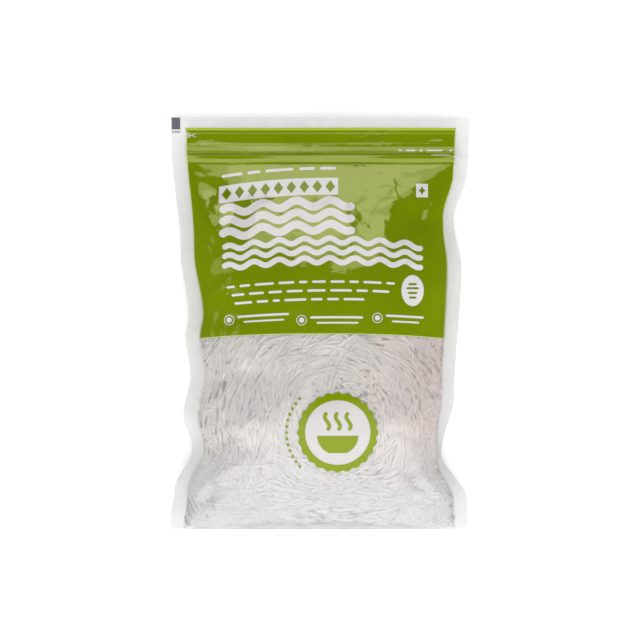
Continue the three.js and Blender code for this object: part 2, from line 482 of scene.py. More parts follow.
def joined_shells(name, patches, thickness):
    """One mesh object of thin closed sheets with crisp borders: each is a grid and a copy of
    it pushed inward along its normals."""
    points, faces, start = [], [], 0
    for patch in patches:
        some_points, some_faces = closed_sheet(patch, patch - grid_normals(patch) * thickness)
        points.append(some_points)
        faces.append(some_faces + start)
        start += len(some_points)
    return make_object(name, np.concatenate(points), np.concatenate(faces).tolist(), BORDER_TURN)


def steps(*stops):
    """Positions along a line, given as (from, to, count) stretches that join up."""
    parts = [np.linspace(a, b, n, endpoint=False) for a, b, n in stops]
    return np.concatenate(parts + [[stops[-1][1]]])


def across_steps(count):
    """Shares across the filled part, closer together towards the seals."""
    return np.sin(np.pi / 2 * np.linspace(-1, 1, count))


def finish_piece(piece, material, slot, *replaced):
    """Gives a piece its material and body, and the solids that it stands in for. The slot is not used.
    """
    piece.data.materials.append(material)
    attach(piece, BODY)
    if replaced:
        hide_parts(*replaced)


# Materials -------------------------------------------------------------------------------

# The knurl band gets a painted highlight: pale dots of the edge colour mixed into the green ink.
KNURL_BAND = (115.0, 117.6)  # Y in millimetres
KNURL_PITCH = 2.1  # millimetres: coarser than the real knurl, which is too fine to show
KNURL_GLINT = 0.65
WAVE_TEXTURE_TURN = 1.5708  # the wave texture repeats after about 1 / 1.57 of its scale
# The slits below are painted shade: dark colour along the swirl where crevices between noodles fall in
# shade.
SLIT_PITCH = 1.6  # millimetres from one slit to the next, out from the middle
SLITS_ROUND = 8.0
PACKED_SLIT_SHADE = (0.55, 0.63)  # noise levels where a slit starts and where it is dark
LOOSE_SLIT_SHADE = (0.6, 0.69)
PACKED_SHADE_DARKEST, LOOSE_SHADE_DARKEST = 0.85, 0.65
SWIRL_SWAY = 9.0
GLOSS_TINT = (1.0, 0.98, 0.5, 1)  # the ink warms the light that the film sends back
FLOOR_GLOW = 0.25  # the board is lit from below as well

BUMP = "ShaderNodeBump"
MATH = "ShaderNodeMath"
MIX = "ShaderNodeMix"
MIX_SHADER = "ShaderNodeMixShader"
NOISE = "ShaderNodeTexNoise"
OUTPUT = "ShaderNodeOutputMaterial"
PRINCIPLED = "ShaderNodeBsdfPrincipled"
RANGE = "ShaderNodeMapRange"
SPLIT = "ShaderNodeSeparateXYZ"
VECTOR_MATH = "ShaderNodeVectorMath"


def linear(colour):
    """Linear RGB of an sRGB hex value such as 0x7A8E05."""
    channels = [(colour >> shift & 255) / 255 for shift in (16, 8, 0)]
    return [c / 12.92 if c <= 0.04045 else ((c + 0.055) / 1.055) ** 2.4 for c in channels]


def add(tree, kind, sockets=(), **settings):
    """Adds a node with its settings. sockets gives its inputs, in order or by name: each is
    a value, another node's output, or a node, whose first output is linked."""
    node = tree.nodes.new(kind)
    for name, value in settings.items():
        setattr(node, name, value)
    for name, value in sockets.items() if isinstance(sockets, dict) else enumerate(sockets):
        if isinstance(value, bpy.types.Node):
            value = value.outputs[0]
        if isinstance(value, bpy.types.NodeSocket):
            tree.links.new(value, node.inputs[name])
        else:
            node.inputs[name].default_value = value
    return node


def new_tree(name):
    """A new material, its empty node tree and the object's own coordinates in it."""
    material = bpy.data.materials.new(name)
    material.use_nodes = True
    tree = material.node_tree
    tree.nodes.clear()
    return material, tree, add(tree, "ShaderNodeTexCoord").outputs["Object"]


def film_bump(tree, place, strength=0.3):
    """Orange peel and slack of blown film: noise of about 14 mm and 4 mm."""
    slack = add(tree, NOISE, {"Vector": place, "Scale": 1 / 0.014, "Detail": 2.0})
    peel = add(tree, NOISE, {"Vector": place, "Scale": 1 / 0.004, "Detail": 1.0})
    wide = add(tree, BUMP, {"Height": slack, "Strength": strength, "Distance": 0.0005})
    return add(tree, BUMP, {"Height": peel, "Strength": 0.2, "Distance": 0.0001, "Normal": wide})


def film_creases(tree, place, under):
    """Short creases in patches of the stiff laminate: edges of bent cells about 13 mm wide,
    each a valley of 1 mm, laid over the bump that is under them."""
    sway = add(tree, NOISE, {"Vector": place, "Scale": 1 / 0.02, "Detail": 2.0}).outputs[1]
    offset = add(tree, VECTOR_MATH, (sway, (0.012, 0.012, 0.012)), operation="MULTIPLY")
    bent = {"Vector": add(tree, VECTOR_MATH, (place, offset)), "Scale": 1 / 0.013}
    cells = add(tree, "ShaderNodeTexVoronoi", bent, feature="DISTANCE_TO_EDGE")
    flank = add(tree, RANGE, (cells.outputs["Distance"], 0.0, 0.09, 1.0, 0.0))
    patch = add(tree, NOISE, {"Vector": place, "Scale": 1 / 0.03, "Detail": 1.0})
    shown = add(tree, MATH, (flank, add(tree, RANGE, (patch, 0.44, 0.58))), operation="MULTIPLY")
    relief = {"Height": shown, "Strength": 1.0, "Distance": 0.00007, "Normal": under}
    return add(tree, BUMP, relief)


def green_film_material(colours):
    """Laminated polyethylene, reverse-printed olive green: deep colour under a wet gloss.
    The zip's strip is knurled at a slant, which breaks the gloss up into fine dots: these are painted
    highlight, pale dots of the edge colour mixed into the ink, under a rougher gloss."""
    material, tree, place = new_tree("reverse-printed polyethylene laminate")
    cloud = add(tree, NOISE, {"Vector": place, "Scale": 1 / 0.045, "Detail": 4.0})
    inks = {0: cloud, 6: (*colours.green_deep, 1), 7: (*colours.green, 1)}
    ink = add(tree, MIX, inks, data_type="RGBA").outputs[2]
    height = add(tree, SPLIT, (place,)).outputs[1]
    low, high = (edge * MM for edge in KNURL_BAND)
    above = add(tree, RANGE, (height, low, low + 0.0003))
    below = add(tree, RANGE, (height, high + 0.0004, high))
    band = add(tree, MATH, (above, below), operation="MULTIPLY")
    waves = {"Vector": place, "Scale": 1 / (KNURL_PITCH * MM * WAVE_TEXTURE_TURN)}
    knurl = add(tree, "ShaderNodeTexWave", waves, bands_direction="DIAGONAL").outputs[1]
    shown = add(tree, MATH, (knurl, band), operation="MULTIPLY")
    # painted highlight: pale dots mixed into the ink stand in for glints of the knurled gloss
    glint = add(tree, MATH, (shown, KNURL_GLINT), operation="MULTIPLY")
    glinting = {0: glint, 6: ink, 7: (*colours.edge, 1)}
    sockets = {
        "Base Color": add(tree, MIX, glinting, data_type="RGBA").outputs[2],
        "Roughness": add(tree, RANGE, (band, 0.0, 1.0, 0.09, 0.3)),
        "IOR": 1.7,
        "Specular Tint": GLOSS_TINT,
        "Normal": film_creases(tree, place, film_bump(tree, place, 0.75)),
    }
    add(tree, OUTPUT, (add(tree, PRINCIPLED, sockets),))
    return material


def ink_material(name, colour, roughness=0.1, tint=(1, 1, 1, 1)):
    """Flat ink under the same glossy film as the green. Green ink warms the gloss over it."""
    material, tree, place = new_tree(name)
    sockets = {
        "Base Color": (*colour, 1),
        "Roughness": roughness,
        "IOR": 1.45,
        "Specular Tint": tint,
        "Normal": film_bump(tree, place),
    }
    add(tree, OUTPUT, (add(tree, PRINCIPLED, sockets),))
    return material


def clear_film_material():
    """Clear blown polyethylene: seen through, with a Fresnel gloss and a faint milky haze, which is
    thicker low down and along the bottom fold; that thicker white veil is partly painted light, which
    lightens the shade where the two films close."""
    material, tree, place = new_tree("clear polyethylene film")
    bump = film_bump(tree, place)
    clear = add(tree, "ShaderNodeBsdfTransparent")
    polished = {"Color": (1, 1, 1, 1), "Roughness": 0.16, "Normal": bump}
    gloss = add(tree, "ShaderNodeBsdfAnisotropic", polished)
    fresnel = add(tree, "ShaderNodeFresnel", {"IOR": 1.56, "Normal": bump})
    inside = add(tree, "ShaderNodeNewGeometry").outputs["Backfacing"]
    outside = add(tree, MATH, (1.0, inside), operation="SUBTRACT")
    share = add(tree, MATH, (fresnel, outside), operation="MULTIPLY")
    cloud = add(tree, NOISE, {"Vector": place, "Scale": 1 / 0.03, "Detail": 3.0})
    thin = add(tree, RANGE, (cloud, 0.4, 0.75, 0.08, 0.24))
    height = add(tree, SPLIT, (place,)).outputs[1]
    # partly painted light: more white veil low down and at the fold lightens the shade where the films
    # close
    low = add(tree, RANGE, (height, -0.08, -0.13, 0.0, 0.1))
    fold = add(tree, RANGE, (height, -0.13, -0.137, 0.0, 0.2))
    haze_and_painted_light = add(tree, MATH, (thin, add(tree, MATH, (low, fold))))
    milk = add(tree, "ShaderNodeBsdfDiffuse", {"Color": (0.76, 0.76, 0.76, 1)})
    veiled = add(tree, MIX_SHADER, (haze_and_painted_light, clear, milk))
    add(tree, OUTPUT, (add(tree, MIX_SHADER, (share, veiled, gloss)),))
    return material


def seal_material():
    """Two films welded by heat: the same polyethylene, turned milky and softly glossy, and
    milkier the lower it is."""
    material, tree, place = new_tree("heat-sealed polyethylene")
    bump = film_bump(tree, place)
    cloud = add(tree, NOISE, {"Vector": place, "Scale": 1 / 0.022, "Detail": 3.0})
    height = add(tree, SPLIT, (place,)).outputs[1]
    patchy = add(tree, RANGE, (cloud, 0.3, 0.7, 0.34, 0.5))
    density = add(tree, MATH, (patchy, add(tree, RANGE, (height, 0.13, -0.13, 0.0, 0.2))))
    clear = add(tree, "ShaderNodeBsdfTransparent")
    welded = {"Base Color": (0.79, 0.79, 0.79, 1), "Roughness": 0.28, "IOR": 1.5, "Normal": bump}
    glow = add(tree, "ShaderNodeBsdfTranslucent", {"Color": (0.85, 0.85, 0.86, 1)})
    lit = add(tree, MIX_SHADER, (0.4, add(tree, PRINCIPLED, welded), glow))
    add(tree, OUTPUT, (add(tree, MIX_SHADER, (density, clear, lit)),))
    return material


def swirl_place(tree, place):
    """Coordinates that run round the nest: distance from its middle, swayed a little, and
    the heading as a point on a circle, so that there is no seam."""
    middle = (MEDALLION[0] * MM, MEDALLION[1] * MM, 0)
    from_middle = add(tree, VECTOR_MATH, (place, middle), operation="SUBTRACT")
    flat = add(tree, VECTOR_MATH, (from_middle, (1, 1, 0)), operation="MULTIPLY")
    distance = add(tree, VECTOR_MATH, (flat,), operation="LENGTH").outputs["Value"]
    heading = add(tree, VECTOR_MATH, (flat,), operation="NORMALIZE")
    axes = add(tree, SPLIT, (heading,)).outputs
    drift = add(tree, NOISE, {"Vector": place, "Scale": 1 / 0.035, "Detail": 1.0})
    sway = add(tree, MATH, (drift, SWIRL_SWAY * MM), operation="MULTIPLY")
    swayed = add(tree, MATH, (distance, sway))
    out = add(tree, MATH, (swayed, SLIT_PITCH * MM), operation="DIVIDE")
    turn = [add(tree, MATH, (axis, SLITS_ROUND), operation="MULTIPLY") for axis in axes[:2]]
    return add(tree, "ShaderNodeCombineXYZ", (out, *turn))


def noodle_material(name, colours, shade=1.0, packed=False):
    """Steamed rice noodle: soft off-white starch, a little moist, that light sinks into.
    It turns to a faint pink at the upper right, and to a cooler white low in the pouch.
    Packed noodles are pressed into one mass. Dark slits along the swirl, on packed and loose noodles
    alike, are painted shade: dark colour that stands in for the shade in the crevices between them. The
    real slits are too fine to show, so these are drawn as coarse as they need to be."""
    material, tree, place = new_tree(name)
    axes = add(tree, SPLIT, (place,)).outputs
    patch = add(tree, NOISE, {"Vector": place, "Scale": 1 / 0.04, "Detail": 2.0})
    cloud = add(tree, NOISE, {"Vector": place, "Scale": 1 / 0.012, "Detail": 3.0})
    low_down = add(tree, RANGE, (axes[1], -0.07, -0.115))
    bend = add(tree, MATH, (patch, 0.07), operation="MULTIPLY")
    right = add(tree, RANGE, (add(tree, MATH, (bend, axes[0])), 0.055, 0.12))
    upper = add(tree, RANGE, (axes[1], -0.11, -0.06))
    upper_right = add(tree, MATH, (right, upper), operation="MULTIPLY")

    # painted shade: the slit mask darkens the starch where crevices between noodles fall in shade
    swirl = swirl_place(tree, place)
    gaps = add(tree, NOISE, {"Vector": swirl, "Scale": 1.0, "Detail": 1.5})
    clusters = add(tree, RANGE, (patch, 0.38, 0.62, -0.08, 0.06))
    lower = add(tree, RANGE, (axes[1], -0.045, -0.09, 0.0, -0.045))
    fold = add(tree, RANGE, (axes[1], -0.118, -0.13, 0.0, 0.07))
    spread = add(tree, MATH, (clusters, add(tree, MATH, (lower, fold))))
    openness = add(tree, MATH, (gaps, spread))
    levels, darkest = (PACKED_SLIT_SHADE, PACKED_SHADE_DARKEST) if packed else (LOOSE_SLIT_SHADE, LOOSE_SHADE_DARKEST)
    slit_shade_share = add(tree, RANGE, (openness, *levels, 0.0, darkest))
    sockets = {
        "Roughness": 0.6,
        "IOR": 1.35,
        "Subsurface Weight": 0.4,
        "Subsurface Radius": (1.0, 0.9, 0.8),
        "Subsurface Scale": 0.0008,
    }
    if packed:
        # painted shade as well: the grain darkens the packed mass between its ridges
        grain = add(tree, NOISE, {"Vector": swirl, "Scale": 0.7, "Detail": 3.0})
        shadow = add(tree, RANGE, (grain, 0.45, 0.65, 0.0, 0.25))
        slit_shade_share = add(tree, MATH, (slit_shade_share, shadow), operation="MAXIMUM")
        relief = {"Height": grain, "Strength": 0.4, "Distance": 0.0015}
        sockets["Normal"] = add(tree, BUMP, relief)

    # shade darkens every colour of the material; below 1 it is painted shade
    deep, plain, cool, pink = (
        (*(shade * channel for channel in colour), 1)
        for colour in (colours.noodle_deep, colours.noodle, colours.noodle_cool, colours.noodle_pink)
    )
    starch = deep
    shares = ((cloud, plain), (low_down, cool), (upper_right, pink), (slit_shade_share, (*colours.gap, 1)))
    for share, tone in shares:
        starch = add(tree, MIX, {0: share, 6: starch, 7: tone}, data_type="RGBA").outputs[2]
    sockets["Base Color"] = starch
    add(tree, OUTPUT, (add(tree, PRINCIPLED, sockets),))
    return material


def floor_material(colours):
    """Matt white studio board."""
    material, tree, _ = new_tree("matt studio board")
    sockets = {
        "Base Color": (*colours.floor, 1),
        "Roughness": 0.8,
        "Emission Color": (1, 1, 1, 1),
        "Emission Strength": FLOOR_GLOW,
    }
    add(tree, OUTPUT, (add(tree, PRINCIPLED, sockets),))
    return material


# Settings --------------------------------------------------------------------------------


def length_prop(name, description, millimetres):
    """A length, given in millimetres and kept in metres."""
    return FloatProperty(name=name, description=description, default=millimetres * MM, unit="LENGTH")


def colour_prop(name, description, colour):
    """A colour, given as an sRGB hex value and kept as linear RGB."""
    return FloatVectorProperty(
        name=name, description=description, subtype="COLOR", size=3, min=0, max=1, default=linear(colour)
    )


class PouchSizes(bpy.types.PropertyGroup):
    film: length_prop("Film", "Thickness of one film", 0.1)
    print_lift: length_prop("Print lift", "Height of the print over the film", 0.08)
    top_line: length_prop("Top line", "Y of the line where the top seal ends", 130.5)
    strand: length_prop("Strand", "Mean width of a noodle", 2.35)


class PouchColours(bpy.types.PropertyGroup):
    green: colour_prop("Green", "Printed panel", 0x7B8F02)
    green_deep: colour_prop("Deep green", "Thicker ink on the panel", 0x6A7F00)
    green_light: colour_prop("Light green", "Thin ink over the top seal", 0xA9BE38)
    white: colour_prop("White", "White print", 0xDAD6D5)
    white_disc: colour_prop("White disc", "White print on the window", 0xCBC7C6)
    grey: colour_prop("Grey", "Register block on the seal", 0x66646E)
    noodle: colour_prop("Noodle", "Pale starch", 0xE7E2DD)
    noodle_deep: colour_prop("Deep noodle", "Thicker or drier starch", 0xDDD6D0)
    noodle_pink: colour_prop("Pink noodle", "Starch at the upper right of the nest", 0xDFC9C3)
    noodle_cool: colour_prop("Cool noodle", "Starch low in the pouch", 0xD8D6D5)
    # painted shade: the colour of the dark slits between the noodles
    gap: colour_prop("Gap", "Slits between packed noodles", 0x8B857D)
    # also the colour of the knurl's painted highlight dots
    edge: colour_prop("Edge line", "Pale line where the green ink ends", 0xC6D08A)
    floor: colour_prop("Floor", "Studio board", 0xF4F4F4)


class NestSettings(bpy.types.PropertyGroup):
    bundles: IntProperty(name="Bundles", description="Bundles that turn round the nest", default=190)
    strands: IntProperty(name="Strands", description="Noodles side by side in a bundle", default=3)
    margin: IntProperty(name="Margin", description="Short noodles along the side seals", default=260)
    corner: IntProperty(name="Corner", description="Loose noodles in the bottom corners", default=90)
    seed: IntProperty(name="Seed", description="Draw of the noodles", default=5)


# Film ------------------------------------------------------------------------------------

SPARSE_SHARE = 0.79  # share of the panel below the zip, where the rows lie further apart


def film_points(height, across, y):
    """Points of the front or the back film, whose function of height is given."""
    x = x_at(across, y)
    return grid_points(x, y, height(across, x, y))


class POUCH_OT_printed_film(bpy.types.Operator):
    """Front and back panels of green printed film, from their lower edge to the top seal"""

    bl_idname = "pouch.printed_film"
    bl_label = "Printed film"

    def execute(self, context):
        sizes = context.scene.pouch_sizes
        material = green_film_material(context.scene.pouch_colours)
        sides = (
            ("printed_film_front", front_height, across_steps(160), 100, 112),
            ("printed_film_back", back_height, across_steps(110)[::-1], 60, 50),
        )
        for name, height, across, below, above in sides:
            share = steps((0, SPARSE_SHARE, below), (SPARSE_SHARE, 1, above))[:, None]
            y = panel_edge(across) * (1 - share) + sizes.top_line / MM * share
            sheet = film_points(height, across[None, :], y)
            piece = joined_shells(name, [sheet], sizes.film / MM)
            finish_piece(piece, material, "printed_film", NODE)
        return {"FINISHED"}


class POUCH_OT_window_film(bpy.types.Operator):
    """Clear film: one sheet from the front panel down, round the bottom fold and up the back"""

    bl_idname = "pouch.window_film"
    bl_label = "Window film"

    def execute(self, context):
        across = across_steps(170)[::-1][None, :]
        length = panel_edge(across) + HALF_LENGTH
        front = film_points(front_height, across, -HALF_LENGTH + length * column(1, 0, 150))
        back = film_points(back_height, across, -HALF_LENGTH + length * column(0, 1, 80))
        thickness = context.scene.pouch_sizes.film / MM
        piece = joined_shells("window_film", [np.concatenate([front, back])], thickness)
        finish_piece(piece, clear_film_material(), "clear_film", NODE)
        return {"FINISHED"}


class POUCH_OT_heat_seals(bpy.types.Operator):
    """Milky welded border: up the left side, across the top and down the right side"""

    bl_idname = "pouch.heat_seals"
    bl_label = "Heat seals"

    def execute(self, context):
        top = context.scene.pouch_sizes.top_line / MM
        up = np.linspace(-HALF_LENGTH, HALF_LENGTH, 330)
        inner_up = np.linspace(-HALF_LENGTH, top, 330)
        over = np.linspace(0, 1, 200)[1:-1]
        left, right = (inner_edge(side, np.float64(top)) for side in (-1, 1))
        border = (
            [outer_edge(-1, up), WIDTH * (over - 0.5), outer_edge(1, up)[::-1]],
            [up, np.full(over.shape, HALF_LENGTH), up[::-1]],
            [inner_edge(-1, inner_up), left + (right - left) * over, inner_edge(1, inner_up)[::-1]],
            [inner_up, np.full(over.shape, top), inner_up[::-1]],
            [swing(LEFT_EDGE, 2, up), np.zeros(over.shape), swing(RIGHT_EDGE, 2, up)[::-1]],
        )
        x_out, y_out, x_in, y_in, hang = (np.concatenate(part)[:, None] for part in border)
        inward = row(0, 1, 9)
        x = x_out + (x_in - x_out) * inward
        y = y_out + (y_in - y_out) * inward
        z = seam_height(x, y) - hang * (1 - inward) + FILM_GAP / 2 + zip_relief(1.0, y)
        sheet = np.stack([x, y, z], axis=-1)[::-1, ::-1]
        piece = joined_shells("heat_seals", [sheet], FILM_GAP)
        finish_piece(piece, seal_material(), "clear_film", NODE)
        return {"FINISHED"}


# Print: lengths in millimetres, levels in print coordinates ------------------------------

PRINT_THICKNESS = 0.6  # share of the print's height over the film
PRINT_STEP = 0.7
BANNER = dict(x0=-67.7, x1=11.7, low=78.9, high=90.6)
LOZENGES = (-62.5, 6.5, 9)  # from X, to X, count
BANDS = [  # from X, to X, level, half width, height and length of the wave
    *((-66.5, 22.5, level, 2.7, 2.3, 22.5) for level in (73.1, 65.0, 56.9)),
    *((-64.5, 67.5, level, 1.85, 1.55, 16.6) for level in (48.2, 42.0, 35.8)),
]
CAPTION_WORDS = [(-66, -52), (-49, -40), (-37, -18), (-14.5, -3.5), (-0.5, 10.5)]
CAPTION_LEVEL = 97.2
ZIP_DASHES = [(52.0, 54.5), (57.0, 63.5), (66.0, 68.5), (70.5, 82.0), (86.0, 88.5)]
ZIP_DASH_Y = 115.4
ZIP_NOTE = (73.5, 87.0, 112.4)  # from X, to X, Y
CUT_MARK = (-86.4, 125.6)
TEXT_LEVELS = (22.6, 17.2, 11.8)
TEXT_SPANS = ((-61.7, 49.3), (-58.5, 50.0), (-56.5, 31.6))
WORD_LENGTHS = (5, 15)
WORD_GAP = 2.6
TEXT_SEED = 3
ICONS = [(-60.0, 1.9), (-12.3, 1.9), (37.2, 3.4)]  # X and Y of each middle
ICON_BARS = [(-54.6, -20.5), (-6.8, 28.0), (42.6, 68.0)]  # from X, to X
BADGE = (60.4, 21.3, 7.4, 10.2)  # middle X and Y, half sizes
BADGE_BARS = ((4.2, 2.9), (1.5, 4.4), (-1.6, 3.4), (-4.6, 2.6))  # height, half length
SQUARE_MARK = (67.6, 88.2, 4.0, 4.6)  # the same
MEDALLION_RADIUS = 26.0
MEDALLION_BAND = 4.6
MEDALLION_SCALLOPS = (168, 24, 0.7)  # steps round, scallops, depth
BOWL_HALF_WIDTH, BOWL_DEPTH = 13.5, 11.5
BEAD_RADIUS = 33.5
BEAD_TURNS = (138, 222, 13)  # from, to in degrees, count
EDGE_LINE = 0.55
TOP_STRIP = 1.7
REGISTER_X = (-99.5, -93.8)
REGISTER_SPANS = ((129.4, 137.3), (127.4, 128.1))  # Y of the block and of the bar under it


def on_film(x, y, lift):
    """Points of a plan shape laid on the front film, lifted by the given height."""
    return grid_points(x, y, front_height(across_at(x, y), x, y) + lift)


def stroke(path_x, path_y, half_width, across_count=5):
    """A flat band along a path: points off the path by its half width, which rounds off at
    both ends like half a circle."""
    tangent = np.stack([np.gradient(path_x), np.gradient(path_y)])
    tangent = tangent / np.hypot(*tangent)
    travelled = np.concatenate([[0], np.cumsum(np.hypot(np.diff(path_x), np.diff(path_y)))])
    to_end = np.minimum(travelled, travelled[-1] - travelled)
    inside = np.clip(1 - to_end / half_width, 0, 1)
    width = half_width * np.sqrt(np.maximum(1 - inside**2, 0.0009))
    off = row(1, -1, across_count)
    x = path_x[:, None] - tangent[1][:, None] * width[:, None] * off
    y = path_y[:, None] + tangent[0][:, None] * width[:, None] * off
    return x, y


def straight_bar(x0, x1, y, half_width, count=12):
    """A bar straight along X in plan."""
    path = np.linspace(x0, x1, count)
    return stroke(path, np.full(path.shape, y), half_width)


def print_bar(x0, x1, level, half_width, wave=0.0, wave_length=20.0):
    """A band in print coordinates; wave bends it up and down as a sine."""
    count = max(8, int((x1 - x0) / PRINT_STEP))
    ease = np.linspace(0, np.pi, count)
    x = x0 + (x1 - x0) * (0.12 * (1 - np.cos(ease)) / 2 + 0.88 * np.linspace(0, 1, count))
    bend = wave * np.sin(2 * np.pi * (x - x0) / wave_length)
    return stroke(*on_print(x, level + bend), half_width)


def disc(middle_x, middle_y, radius_x, radius_y, count):
    """A filled oval: the square grid (u, v) goes to (u sqrt(1 - v^2/2), v sqrt(1 - u^2/2))."""
    u, v = row(-1, 1, count), column(-1, 1, count)
    x = middle_x + radius_x * u * np.sqrt(1 - v * v / 2)
    y = middle_y + radius_y * v * np.sqrt(1 - u * u / 2)
    return x, y


def ring(middle_x, middle_y, outer, inner, turns, scallops=0, scallop_depth=0.0):
    """A flat ring; its outer edge waves in and out by scallops."""
    angle = column(0, 2 * np.pi, turns + 1)
    edge = outer + scallop_depth * np.cos(scallops * angle)
    radius = edge + (inner - edge) * row(0, 1, 4)
    return middle_x + radius * np.cos(angle), middle_y + radius * np.sin(angle)


def lozenge(middle_x, level, half_x, half_y):
    """A diamond as a grid whose corners are its four points."""
    u, v = row(-1, 1, 4), column(-1, 1, 4)
    return on_print(middle_x + half_x * (u - v) / 2, level + half_y * (u + v) / 2)


def panel(x0, x1, low, high):
    """A rectangle in print coordinates."""
    return on_print(row(x0, x1, 60), column(low, high, 12))


def make_print(context, name, shapes, material, lift_steps=1):
    """One piece of print from plan shapes, laid one or more print heights over the film."""
    height = context.scene.pouch_sizes.print_lift / MM
    patches = [on_film(*shape, height * lift_steps) for shape in shapes]
    piece = joined_shells(name, patches, height * PRINT_THICKNESS)
    finish_piece(piece, material, "white_print")


def text_words():
    """Plain bars of seeded word lengths that fill three lines."""
    draw = np.random.default_rng(TEXT_SEED)
    words = []
    for level, (start, end) in zip(TEXT_LEVELS, TEXT_SPANS):
        x = start
        while x < end - 4:
            reach = min(x + draw.uniform(*WORD_LENGTHS), end)
            words.append(print_bar(x, reach, level, 0.8))
            x = reach + WORD_GAP
    return words


def cut_mark():
    """A small pair of scissors: two crossed blades and a ring for each."""
    x, y = CUT_MARK
    run = np.linspace(-1.2, 3.0, 10)
    shapes = [stroke(x + run, y + lean * 0.42 * run, 0.22, 3) for lean in (-1, 1)]
    shapes += [ring(x - 2.0, y + side * 0.9, 1.0, 0.6, 20) for side in (-1, 1)]
    return shapes


class POUCH_OT_white_print(bpy.types.Operator):
    """White print of the green panel: banner, noodle bands, plain lines, icons and badge"""

    bl_idname = "pouch.white_print"
    bl_label = "White print"

    def execute(self, context):
        shapes = [panel(**BANNER), *(print_bar(*band) for band in BANDS)]
        shapes += [print_bar(a, b, CAPTION_LEVEL, 1.0) for a, b in CAPTION_WORDS]
        shapes += text_words()
        shapes += [straight_bar(a, b, ZIP_DASH_Y, 0.55) for a, b in ZIP_DASHES]
        shapes.append(straight_bar(*ZIP_NOTE, 0.3))
        shapes += cut_mark()
        for (x, y), (start, end) in zip(ICONS, ICON_BARS):
            level = y - on_print(np.float64(x), 0.0)[1]
            shapes.append(ring(x, y, 3.4, 2.9, 40))
            shapes.append(disc(x, y, 1.7, 1.7, 9))
            shapes.append(print_bar(start, end, level + 1.6, 0.75))
            shapes.append(print_bar(start + 4, end - 3, level - 1.9, 0.6))
        shapes.append(disc(*BADGE, 21))
        x, y, half_x, half_y = SQUARE_MARK
        shapes.append((x + half_x * row(-1, 1, 8), y + half_y * column(-1, 1, 8)))
        white = ink_material("white ink under film", context.scene.pouch_colours.white)
        make_print(context, "print_white", shapes, white)
        return {"FINISHED"}


class POUCH_OT_green_print(bpy.types.Operator):
    """Green print on white: banner lozenges, badge lines and the square mark's star"""

    bl_idname = "pouch.green_print"
    bl_label = "Green print"

    def execute(self, context):
        middle = (BANNER["low"] + BANNER["high"]) / 2
        shapes = [lozenge(x, middle, 3.2, 4.2) for x in np.linspace(*LOZENGES)]
        x, y = BADGE[:2]
        shapes += [straight_bar(x - r, x + r, y + rise, 0.65, 10) for rise, r in BADGE_BARS]
        shapes += [disc(*SQUARE_MARK[:2], *radii, 9) for radii in ((2.2, 0.9), (0.9, 2.6))]
        green = context.scene.pouch_colours.green_deep
        deep = ink_material("deep green ink under film", green, tint=GLOSS_TINT)
        make_print(context, "print_green", shapes, deep, 2)
        return {"FINISHED"}


class POUCH_OT_panel_edge(bpy.types.Operator):
    """Pale line round the green panel where the ink ends, and the thin ink along its top"""

    bl_idname = "pouch.panel_edge"
    bl_label = "Panel edge"

    def execute(self, context):
        colours = context.scene.pouch_colours
        top = context.scene.pouch_sizes.top_line / MM
        half = EDGE_LINE / 2
        y = np.linspace(panel_edge(1.0), top - 0.3, 260)
        sides = [stroke(inner_edge(side, y) - side * (half + 0.05), y, half, 3) for side in (-1, 1)]
        across = np.linspace(-0.995, 0.995, 260)
        x = x_at(across, panel_edge(across))
        bottom = stroke(x, panel_edge(across) + half + 0.05, half, 3)
        pale = ink_material("pale ink line under film", colours.edge, tint=GLOSS_TINT)
        make_print(context, "print_edge", [*sides, bottom], pale)
        left, right = (inner_edge(side, np.float64(top)) - side * 0.1 for side in (-1, 1))
        strip = (row(left, right, 200), column(top - TOP_STRIP, top - 0.1, 6))
        thin = ink_material("thin olive ink under film", colours.green_light, tint=GLOSS_TINT)
        make_print(context, "print_top_strip", [strip], thin)
        return {"FINISHED"}


class POUCH_OT_medallion(bpy.types.Operator):
    """Round medallion on the window: off-white disc, green scalloped ring, bowl and beads"""

    bl_idname = "pouch.medallion"
    bl_label = "Medallion"

    def execute(self, context):
        colours = context.scene.pouch_colours
        x, y = MEDALLION
        radius = MEDALLION_RADIUS - MEDALLION_BAND / 2
        white = ink_material("white ink on clear film", colours.white_disc)
        make_print(context, "medallion_white", [disc(x, y, radius, radius, 33)], white)
        inner = MEDALLION_RADIUS - MEDALLION_BAND
        shapes = [ring(x, y, MEDALLION_RADIUS, inner, *MEDALLION_SCALLOPS)]
        u, v = row(-1, 1, 25), column(0, 1, 12)[::-1]
        bowl_x = x + BOWL_HALF_WIDTH * u * np.sqrt(1 - v * v * 0.82)
        shapes.append((bowl_x, y - 2.0 - BOWL_DEPTH * v))
        rise = np.linspace(0, 1, 28)
        steam = 1.5 * np.sin(2 * np.pi * rise)
        shapes += [stroke(x + off + steam, y + 1.5 + 12 * rise, 1.2) for off in (-7, 0, 7)]
        first, last, count = BEAD_TURNS
        for turn in np.linspace(math.radians(first), math.radians(last), count):
            bead_x = x + BEAD_RADIUS * math.cos(turn)
            bead_y = y + BEAD_RADIUS * math.sin(turn)
            shapes.append(disc(bead_x, bead_y, 1.0, 1.0, 7))
        green = ink_material("green ink on clear film", colours.green, tint=GLOSS_TINT)
        make_print(context, "medallion_green", shapes, green, 2)
        return {"FINISHED"}


class POUCH_OT_register_block(bpy.types.Operator):
    """Plain grey block that the printer's eye reads, on the corner of the seal"""

    bl_idname = "pouch.register_block"
    bl_label = "Register block"

    def execute(self, context):
        height = context.scene.pouch_sizes.print_lift / MM
        patches = []
        for low, high in REGISTER_SPANS:
            x, y = row(*REGISTER_X, 8), column(low, high, 12)
            patches.append(grid_points(x, y, seam_height(x, y) + FILM_GAP / 2 + height))
        piece = joined_shells("register_block", patches, height * PRINT_THICKNESS)
        grey = ink_material("grey ink on film", context.scene.pouch_colours.grey, 0.3)
        finish_piece(piece, grey, "white_print")
        return {"FINISHED"}


# Noodles: lengths in millimetres ---------------------------------------------------------

